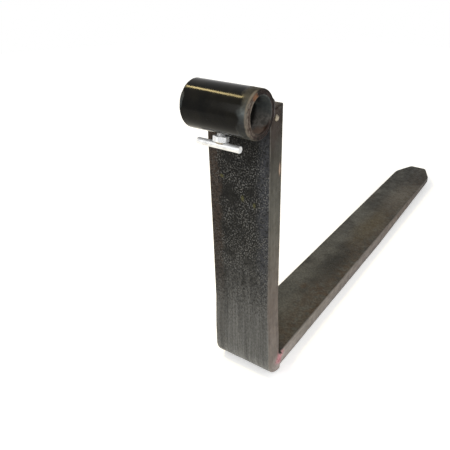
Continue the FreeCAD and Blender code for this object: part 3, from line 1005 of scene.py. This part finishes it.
def weldGrid(start, end, radius, side, settings, seed):
    # A round run from start to end whose radius is R (1 - d saw(s / pitch + 0.22 cos t) + noise): each
    # ripple rises slowly and drops at once, bowed across the run, and both ends close to a dome.
    start, end, side = np.array(start), np.array(end), np.array(side, dtype=float)
    length = np.linalg.norm(end - start)
    axis = (end - start) / length
    s = np.linspace(0, length, int(length / 0.00028))
    turn = np.arange(settings["steps"]) * 2 * np.pi / settings["steps"]
    wobble = softNoise(np.stack([s, 0 * s, 0 * s], -1), 0.006, seed)
    phase = s[:, None] / settings["ripplePitch"] + 0.22 * np.cos(turn) + 0.5 * wobble[:, None]
    saw = (phase - np.floor(phase)) ** 1.6
    closing = np.clip(np.minimum(s, length - s) / settings["endLength"], 0, 1)
    dome = np.sqrt(1 - (1 - closing) ** 2)[:, None]
    ring = np.cos(turn)[:, None] * side + np.sin(turn)[:, None] * np.cross(axis, side)
    middle = (start + s[:, None] * axis)[:, None, :]
    rough = softNoise(middle + radius * ring, 0.0024, seed + 1)
    size = radius * dome * (1 - settings["rippleDepth"] * saw - settings["wander"] * (0.5 + 0.5 * rough))
    return middle + size[..., None] * ring, {"hollow": saw}


def weldMaterial(name, tones, rustShare, specular):
    # Rippled weld: paint worn off its crests, rust in its hollows.
    material, tree, shader, place = newMaterial(name)
    base = mixColors(tree, patches(tree, place, 330.0, 0.4, 0.68, 4.0), *tones)
    hollow = fade(tree, attributeOf(tree, "hollow"), 0.25, 0.95)
    stain = times(tree, hollow, patches(tree, place, 120.0, 0.36, 0.6))
    rust = placeGroup(tree, rustGroup, Vector=place, Scale=300.0)["Color"]
    fillSockets(tree, shader, {
        "Base Color": coat(tree, base, rust, stain, rustShare),
        "Roughness": fade(tree, stain, 0.0, 1.0, 0.42, 0.75), "Specular IOR Level": specular,
    })
    grain = placeGroup(tree, grainGroup, Vector=place, Scale=520.0, Fine=0.5)["Height"]
    addBump(tree, shader, grain, 0.35, 0.0004)
    return material


paintedWeld = weldMaterial("paintedWeld", weldSettings["paintedTones"], 0.7, 0.3)
bareWeld = weldMaterial("bareWeld", weldSettings["bareTones"], 0.35, 0.5)


def buildTubeWelds(settings):
    for index, (name, (start, end, radius, side, node)) in enumerate(settings["runs"].items()):
        grid, attributes = weldGrid(start, end, radius, side, settings, settings["seed"] + 3 * index)
        settle(gridPiece(name, grid, attributes=attributes), "tine", "painted_weld", paintedWeld, node)


def spatterPlaces(settings):
    # The drops' places, sizes and squash: most lie on the shank's tube side below the welds, crowded
    # towards them, and the rest on its right flank.
    random = np.random.default_rng(settings["seed"] + 20)
    count = settings["drops"]
    size = settings["smallest"] + (settings["largest"] - settings["smallest"]) * random.random(count) ** 3
    x = random.uniform(-0.046, 0.046, count)
    z = -0.026 - 0.05 * random.random(count) ** 2
    place = np.stack([x, np.full(count, 0.0300), z], -1)
    onFlank = random.random(count)[:, None] < settings["flankShare"]
    flankY = random.uniform(0.034, 0.058, count)
    flankPlace = np.stack([np.full(count, 0.0499), flankY, -0.002 - 0.05 * random.random(count)], -1)
    return np.where(onFlank, flankPlace, place), size, np.where(onFlank, [[0.55, 1, 1]], [[1, 0.55, 1]])


def ballGrid(rows, cols):
    # The unit ball (cos a cos b, cos a sin b, sin a), row by row from pole to pole.
    tilt = np.linspace(-np.pi / 2, np.pi / 2, rows)[:, None]
    turn = np.arange(cols) * 2 * np.pi / cols
    flatX, flatY = np.cos(tilt) * np.cos(turn), np.cos(tilt) * np.sin(turn)
    return np.stack([flatX, flatY, np.sin(tilt) * np.ones(cols)], -1)


def buildSpatter(settings):
    # One small ball, r (cos a cos b, cos a sin b, sin a), is copied to every drop's place as whole
    # arrays and squashed against the face that the drop stuck to.
    place, size, squash = spatterPlaces(settings)
    rows, cols = 7, 10
    ball = ballGrid(rows, cols).reshape(-1, 3)
    points = place[:, None, :] + size[:, None, None] * squash[:, None, :] * ball
    r = np.arange(rows - 1)[:, None] * cols
    c = np.arange(cols)
    following = (c + 1) % cols
    quads = np.stack([r + c, r + following, r + cols + following, r + cols + c], -1).reshape(-1, 4)
    faces = quads[None] + len(ball) * np.arange(len(place))[:, None, None]
    mesh = bpy.data.meshes.new("weldSpatter")
    mesh.from_pydata(points.reshape(-1, 3).tolist(), [], faces.reshape(-1, 4).tolist())
    settle(finishPiece("weldSpatter", mesh), "tine", "painted_weld", paintedWeld)


def buildTack(settings):
    # A lone weld tack on the shank's flank: r(a, b) = R (1 + 0.13 noise), flattened against the steel.
    ball = np.roll(ballGrid(25, 40), 1, -1)
    lumps = 1 + 0.13 * softNoise(ball + 5, 0.55, settings["seed"] + 30)[..., None]
    grid = np.array(settings["tackPlace"]) + ball * lumps * np.array(settings["tackSize"])
    # The tack's bright gold bare-weld colour stands in for the glint on it: a painted highlight.
    settle(gridPiece("flankTack", grid, attributes={"hollow": 0.0}), "tine", "bare_weld", bareWeld)


spatterSettings = {
    "drops": 34,
    "flankShare": 0.3,
    "smallest": 0.00035,
    "largest": 0.0013,
    "tackPlace": (0.0498, 0.0434, -0.0147),
    "tackSize": (0.0027, 0.0041, 0.0044),
    "seed": 47,
}
buildTubeWelds(weldSettings)
buildSpatter(spatterSettings)
buildTack(spatterSettings)
print("welds built")


# Locking screw: stud, head, cross bar and its weld beads

def studGrid(settings):
    # r(s, t) = R - depth tri(s / pitch - t / 2 pi), a helical ridge with flat crests, narrowed to a
    # chamfer at the tip; a pole closes each end.
    along, front, origin = screwFrame(settings)
    start, end = settings["studStart"], settings["headEnd"]
    s = np.linspace(start, end, 150)
    turn = np.arange(56) * 2 * np.pi / 56
    phase = s[:, None] / settings["pitch"] - turn / (2 * np.pi)
    saw = np.abs(2 * (phase - np.floor(phase)) - 1)
    valley = np.clip((saw - 0.12) / 0.76, 0, 1)
    radius = settings["studRadius"] - settings["threadDepth"] * valley
    radius = np.minimum(radius, settings["studRadius"] - 0.001 + (s - start)[:, None])
    grid = origin + s[:, None, None] * along + radius[..., None] * ringOf(turn, front)
    ends = [np.broadcast_to(origin + place * along, (1, 56, 3)) for place in (start, end)]
    return np.concatenate([ends[0], grid, ends[1]]), {"hollow": np.pad(valley, ((1, 1), (0, 0)), mode="edge")}


def headGrid(settings):
    # The hexagon's radius is a / cos(t mod 60 - 30) with its corners eased. Each end face is a circle,
    # and a 30 degree cone joins it to the flats: h = (r - r0) tan 30. The bore closes the ring.
    along, front, origin = screwFrame(settings)
    half = settings["acrossFlats"] / 2
    turn = np.arange(216) * 2 * np.pi / 216
    local = np.mod(turn - math.radians(settings["headTurn"]), np.pi / 3) - np.pi / 6
    hexagon = np.minimum(half / np.cos(local), half / math.cos(math.pi / 6) - settings["cornerRound"])
    circle = half * settings["faceShare"]
    start, end = settings["headStart"], settings["headEnd"]
    bore = settings["studRadius"] - 0.0002
    coneRadius = circle + np.linspace(0, 1, 6)[:, None] * (hexagon - circle)
    coneDepth = (coneRadius - circle) * math.tan(math.radians(30))
    flat = np.linspace(bore, circle, 5)[:-1, None] * np.ones_like(turn)
    share = np.linspace(0, 1, 9)[1:-1, None]
    deep = coneDepth[-1]
    side = start + deep + share * (end - start - 2 * deep)
    inner = np.linspace(end, start, 6)[1:-1, None] * np.ones_like(turn)
    radius = np.concatenate([
        flat, coneRadius, hexagon * np.ones_like(share), coneRadius[::-1], flat[::-1], bore + 0 * inner,
    ])
    place = np.concatenate([
        start + 0 * flat, start + coneDepth, side, end - coneDepth[::-1], end + 0 * flat, inner,
    ])
    rough = softNoise(np.stack([radius, place, place * 0 + turn * 0.01], -1), 0.0016, settings["seed"])
    radius = radius - np.where(radius > circle, 0.00008 * (1 + rough), 0)
    return origin + place[..., None] * along + radius[..., None] * ringOf(turn, front), {"hollow": 0.0}


def barGrid(settings):
    # A round bar, r = R, with a small quarter-round at its sawn right end and a fuller one at its left
    # end, bowed by b (1 - (2 u)^2) over its length.
    along, front, origin = screwFrame(settings)
    radius, half = settings["barRadius"], settings["barLength"] / 2
    sawn, worn = 0.0006, 0.0016
    bend = np.linspace(0, np.pi / 2, 8)
    x = np.concatenate([
        [-half], -half + worn - worn * np.cos(bend), np.linspace(-half + worn, half - sawn, 66)[1:-1],
        half - sawn + sawn * np.sin(bend), [half],
    ])
    size = np.concatenate([
        [0], radius - worn + worn * np.sin(bend), np.full(64, radius),
        radius - sawn + sawn * np.cos(bend), [0],
    ])
    turn = np.arange(64) * 2 * np.pi / 64
    ring = np.cos(turn)[:, None] * front + np.sin(turn)[:, None] * along
    bow = settings["barBow"] * ((x / half) ** 2 - 1)
    middle = origin + along * (settings["barPlace"]) + np.array([settings["barOffset"], 0, 0])
    axis = middle + x[:, None] * np.array([1, 0, 0]) + bow[:, None] * 0.3 * front
    noise = softNoise(axis[:, None, :] + radius * ring, 0.0035, settings["seed"] + 1)
    knocks = 0.00006 * np.clip(noise, 0, 1)
    grid = axis[:, None, :] + np.clip(size[:, None] - knocks, 0, None)[..., None] * ring
    return grid, {"hollow": 0.0}


def metalMaterial(name, tones, rough, brushed, metallic):
    # Bright metal with faint cloudy tarnish, brown in its hollows, and brushing or cast grain.
    material, tree, shader, place = newMaterial(name)
    color = mixColors(tree, patches(tree, place, 140.0, 0.38, 0.72, 4.0), *tones)
    lines = noiseOf(tree, stretched(tree, place, brushed), 1.0, 3.0, 0.6)
    fillSockets(tree, shader, {
        "Base Color": coat(tree, color, screwFinish["hollowTone"], attributeOf(tree, "hollow"), 0.55),
        "Roughness": fade(tree, lines, 0.25, 0.75, rough - 0.07, rough + 0.12), "Metallic": metallic,
    })
    addBump(tree, shader, lines, 0.18, 0.00025)
    return material


screwFinish = {
    "zincTones": ((0.84, 0.85, 0.87), (0.70, 0.71, 0.72)),
    "zincGrain": (700, 700, 700),
    "barTones": ((0.78, 0.79, 0.80), (0.64, 0.64, 0.64)),
    "barGrain": (160, 2600, 2600),
    "hollowTone": (0.40, 0.38, 0.35),
}


def buildScrew(settings, finish, weld):
    zinc = metalMaterial("brightZinc", finish["zincTones"], 0.30, finish["zincGrain"], 0.5)
    drawn = metalMaterial("drawnBar", finish["barTones"], 0.33, finish["barGrain"], 0.45)
    parts = (
        ("threadedStud", studGrid, False, 50, "stud", "zinc", zinc, "screw_stud"),
        ("hexHead", headGrid, True, 25, "screw_handle", "zinc", zinc, "screw_head"),
        ("roundBar", barGrid, False, 50, "screw_handle", "bright_bar", drawn, "cross_bar"),
    )
    for name, makeGrid, closedRows, sharpAngle, body, slot, metal, node in parts:
        grid, attributes = makeGrid(settings)
        settle(gridPiece(name, grid, closedRows, attributes, None, sharpAngle), body, slot, metal, node)
    buildBarWelds(settings, weld)


def buildBarWelds(settings, weld):
    # Both beads are one piece: the front bead's mesh and the back one's together.
    along, front, origin = screwFrame(settings)
    half = np.array([settings["beadLength"] / 2, 0, 0])
    shells = []
    for side, seed in ((1, 61), (-1, 67)):
        middle = origin + along * (settings["headEnd"] + 0.0006)
        middle = middle + front * side * (settings["barRadius"] - 0.0005)
        grid, attributes = weldGrid(
            middle - half, middle + half, settings["beadRadius"] - 0.0006, front, weld, seed)
        shells.append(gridPiece("barWeld", grid, attributes=attributes))
    joined = bmesh.new()
    for shell in shells:
        joined.from_mesh(shell.data)
    joined.to_mesh(shells[0].data)
    joined.free()
    bpy.data.objects.remove(shells[1])
    settle(shells[0], "screw_handle", "bare_weld", bareWeld, "bar_weld_beads")


buildScrew(screwSettings, screwFinish, weldSettings)
print("locking screw built")
